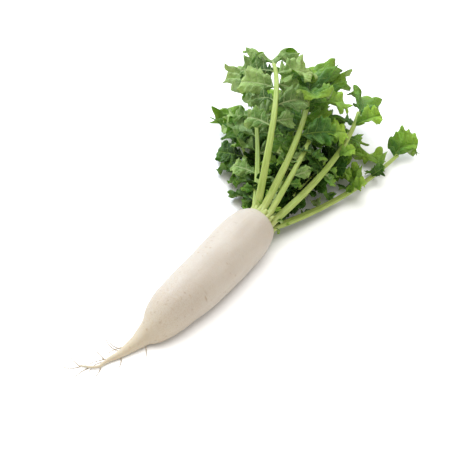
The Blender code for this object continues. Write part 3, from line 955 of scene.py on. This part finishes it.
def buildLeaflets(name, leaf, line, shade, rng):
    # the large leaflets, one side after the other; their partners opposite are returned
    roll, tip = leaf["end"][4], line[-1][0]
    first, count = leaf["leaflets"]
    turn, underUp = radians(leaflet["angle"]), name in undersideUp
    partners = []
    for i in range(count):
        t = first + (leaflet["last"] - first) * i / (count - 1)
        hand = 1 if i % 2 else -1
        grown = (0.66 + 0.34 * i / (count - 1)) * leafletScale.get(name, (1,) * count)[i]
        size = (leaf["size"][0] * grown * leaflet["longer"], leaf["size"][1] * grown * leaflet["wider"])
        lift = radians(leaf["lift"][i % 2])
        base, along, normal = leafletFrame(line, leaf, t, hand, lift, roll, turn, rng.uniform(-24, 24))
        tone = shade + rng.uniform(-0.60, 0.45)
        mesh = bladeMesh(base, along, normal, size, bladeBends(rng, -34, 20), "side", rng, tone, underUp)
        node = f"{name}_leaflet_{i + 1}"
        addPiece(f"{node}_grown", [mesh], outerFinish, [node])
        scale = partnerSize.get(name, (leaflet["partner"],) * 2)[-hand > 0]
        if not scale:
            continue
        high = min(1, tip.z / 0.05)
        hang = leaflet["rightHang"] if hand < 0 else leaflet["leftHang"]      # the stalk stays clear
        lift = radians((1 - high) * leaf["lift"][(i + 1) % 2] - high * hang + rng.uniform(-10, 12))
        base, along, normal = leafletFrame(line, leaf, min(t + 0.03, 0.98), -hand, lift, roll, turn,
                                           rng.uniform(-34, 34))
        size = (size[0] * scale, size[1] * scale)
        bends = bladeBends(rng, -40, 22)
        partners.append(bladeMesh(base, along, normal, size, bends, "side", rng,
                                  shade + rng.uniform(-0.8, 0.3), underUp))
    return partners


def foldedBlade(name, line, rng):
    tangent = line[-1][1]
    side, up = axesAlong(tangent)
    back = (up * 0.55 - tangent * 0.75 + side * 0.15).normalized()
    return bladeMesh(line[-4][0] + up * 0.004, back, (up * 0.75 + tangent * 0.55), foldedBack[name],
                     (-30, 12, 10, 8), "end", rng, 0.1, False)


def smallBlades(leaf, line, shade, rng):
    parts = []
    low, smallest, largest, hands = leaf["small"]
    high = leaf["leaflets"][0] - 0.03
    steps = max(2, round((high - low) * leaf["length"] / leaflet["smallStep"]))
    for i in range(steps):
        share = i / steps
        for hand in hands:
            t = low + (high - low) * share + rng.uniform(-0.01, 0.02)
            size = (smallest + (largest - smallest) * share) * rng.uniform(0.8, 1.2)
            drop = min(1, line[round(t * stalk["steps"])][0].z / 0.05) * (28 if hand > 0 else 6)
            lift = radians(rng.uniform(-14, 24) + 0.6 * leaf["lift"][hand > 0] - drop)
            angle = radians(leaflet["angle"]) + rng.uniform(-0.3, 0.3)
            base, along, normal = leafletFrame(line, leaf, t, hand, lift, leaf["end"][4], angle,
                                               rng.uniform(-45, 45))
            bends = bladeBends(rng, -50, 24, 60, 35)
            # small leaflets lean to dark tones: painted shade low on the stalk
            parts.append(bladeMesh(base, along, normal, (size, size * 0.72), bends, "side", rng,
                                   shade + rng.uniform(-0.9, 0.3), rng.random() < 0.3))
    return parts


def buildLeaf(name, leaf):
    rng = random.Random(name + "blades")
    buildStalk(name, leaf)
    line = stalkLine(leaf)
    shade = buildEndBlade(name, leaf, line, rng)
    parts = buildLeaflets(name, leaf, line, shade, rng)
    if name in foldedBack:
        parts.append(foldedBlade(name, line, rng))
    parts += smallBlades(leaf, line, shade, rng)
    addPiece(f"{name}_small_leaflets", parts, outerFinish, ())


for name, leaf in leaves.items():
    buildLeaf(name, leaf)

# young leaves still closed, in the middle of the crown
youngLeaves = {
    "young_leaf_1": dict(socket=(20, 0.0078), heading=-14, pitch=6, size=(0.034, 0.0060)),
    "young_leaf_2": dict(socket=(200, 0.0078), heading=26, pitch=10, size=(0.046, 0.0060)),
    "young_leaf_3": dict(socket=(300, 0.0078), heading=-6, pitch=-6, size=(0.026, 0.0055)),
}


def buildYoungLeaf(name, leaf):
    length, width = leaf["size"]
    steps, sides = 40, 20
    point = socketPoint(leaf["socket"]) - Vector((0, 0.0015, 0))
    points, along, around, crownShare = [], [], [], []
    for i in range(steps + 1):
        t = i / steps
        tangent = direction(leaf["heading"] * t, leaf["pitch"] * t)
        if i:
            point = point + tangent * (length / steps)
        side, up = axesAlong(tangent)
        half = width / 2 * (0.62 + 0.9 * t - 1.36 * t ** 3)
        for k in range(sides):
            angle = 2 * pi * k / sides
            r = half * (1 + 0.18 * t * sin(5 * angle + 9 * t))
            points.append(point - side * r * cos(angle) + up * r * 0.7 * sin(angle))
            along.append(t * length * 1000)
            around.append(angle * half * 1000)
            crownShare.append(exp(-t * 4))
    values = {"alongStalk": along, "aroundStalk": around, "crownShare": crownShare}
    shape = (points, loftFaces(steps + 1, sides), None, values)
    addPiece(f"{name}_grown", [shape], [stalkSkin], [name])


for name, leaf in youngLeaves.items():
    buildYoungLeaf(name, leaf)

print("stage: studio")

studio = {
    "floor": 6.0, "floorSeen": 0.95, "floorBounce": 0.52,
    "world": 0.70, "worldTint": (1.02, 0.985, 0.935, 1),
    # size, power, place from the crown, tint
    "key": (1.3, 34.5, (-1.50, 0.45, 1.66), (0.91, 1.03, 1.20)),
    "top": (2.2, 62.0, (0.0, 0.0, 2.5), (1.0, 1.0, 1.0)),
    "lens": 85.0, "azimuth": 39.0, "elevation": 46.0, "distance": 1.3587,
    "aim": (-0.0502, -0.0064, 0.0),       # from the crown's foot
}


def buildFloor():
    size = studio["floor"] / 2
    mesh = bpy.data.meshes.new("floor")
    corners = [(-size, -size, 0), (size, -size, 0), (size, size, 0), (-size, size, 0)]
    mesh.from_pydata(corners, [], [(0, 1, 2, 3)])
    floor = bpy.data.objects.new("floor", mesh)
    scene.collection.objects.link(floor)
    material, tree, shader = newMaterial("floorPaint", 0.1)
    shader.inputs["Roughness"].default_value = 0.9
    seen = tree.nodes.new("ShaderNodeLightPath").outputs["Is Camera Ray"]
    bright, dim = studio["floorSeen"], studio["floorBounce"]
    tree.links.new(mixColour(tree, seen, (dim, dim, dim), (bright, bright, bright)),
                   shader.inputs["Base Color"])
    mesh.materials.append(material)
    return floor


def buildLight(label):
    light = bpy.data.lights.new(f"{label}Light", "AREA")
    light.size, light.energy, place, light.color = studio[label]
    lamp = bpy.data.objects.new(f"{label}Light", light)
    lamp.location = crownAt + Vector(place)
    lamp.rotation_euler = (crownAt - lamp.location).to_track_quat("-Z", "Y").to_euler()
    scene.collection.objects.link(lamp)
    return lamp


def buildStudio():
    world = bpy.data.worlds.new("studioWorld")
    world.use_nodes = True
    world.node_tree.nodes["Background"].inputs[0].default_value = studio["worldTint"]
    world.node_tree.nodes["Background"].inputs[1].default_value = studio["world"]
    scene.world = world
    floor = buildFloor()
    buildLight("key")
    # the light from straight above only whitens the floor
    floorOnly = bpy.data.collections.new("floorOnly")
    floorOnly.objects.link(floor)
    buildLight("top").light_linking.receiver_collection = floorOnly


def buildCamera():
    data = bpy.data.cameras.new("camera")
    data.lens = studio["lens"]
    data.clip_start, data.clip_end = 0.05, 20
    camera = bpy.data.objects.new("camera", data)
    turn, climb = radians(studio["azimuth"]), radians(studio["elevation"])
    back = Vector((sin(turn) * cos(climb), -cos(turn) * cos(climb), sin(climb)))
    camera.location = crownAt + Vector(studio["aim"]) + back * studio["distance"]
    camera.rotation_euler = (-back).to_track_quat("-Z", "Y").to_euler()
    scene.collection.objects.link(camera)
    scene.camera = camera


buildStudio()
buildCamera()
